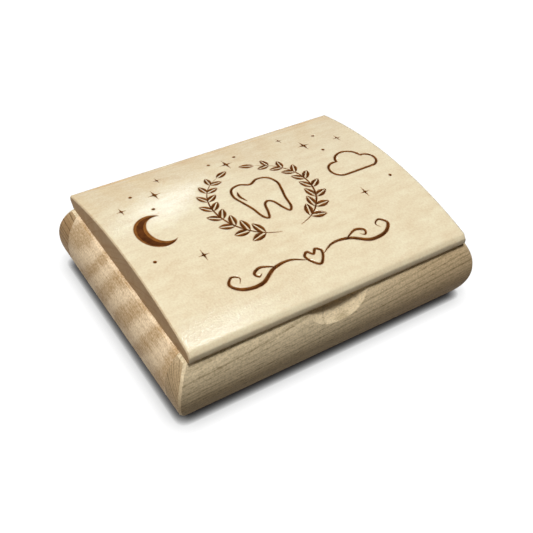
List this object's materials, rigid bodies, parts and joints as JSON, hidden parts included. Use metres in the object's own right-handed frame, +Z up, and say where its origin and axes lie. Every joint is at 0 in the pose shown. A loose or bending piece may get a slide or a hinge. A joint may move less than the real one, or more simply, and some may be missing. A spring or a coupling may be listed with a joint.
{
  "type": "keepsake box",
  "caption": "Small rectangular wooden keepsake box for baby teeth, with round-sided rails, a thumb notch in front and an arched lid hinged at the back.",
  "frame": {"origin": "on the surface that the box stands on, under the middle of the frame", "axes": "+X along the length, -Y the front with the thumb notch, +Z up"},
  "size_m": [0.111, 0.082, 0.0324],
  "materials": {
    "rail_wood": "satin lacquer",
    "panel_wood": "matte",
    "lid_wood": "satin lacquer",
    "felt": "matte",
    "hinge_brass": "satin",
    "screw_brass": "satin"
  },
  "bodies": {
    "case": {"front_rail": "rail_wood", "back_rail": "rail_wood", "left_rail": "rail_wood", "right_rail": "rail_wood", "bottom_panel": "panel_wood", "felt_liner": "felt", "left_hinge_base_leaf": "hinge_brass", "right_hinge_base_leaf": "hinge_brass", "left_hinge_pin": "hinge_brass", "right_hinge_pin": "hinge_brass", "base_hinge_screws": "screw_brass"},
    "cover": {"lid": "lid_wood", "left_hinge_lid_leaf": "hinge_brass", "right_hinge_lid_leaf": "hinge_brass", "lid_hinge_screws": "screw_brass"}
  },
  "joints": [
    {"name": "lid_hinge", "type": "hinge", "parent": "case", "child": "cover", "pos_m": [0, 0.0372, 0.0236], "axis": [-1, 0, 0], "range_deg": [0, 100]}
  ]
}
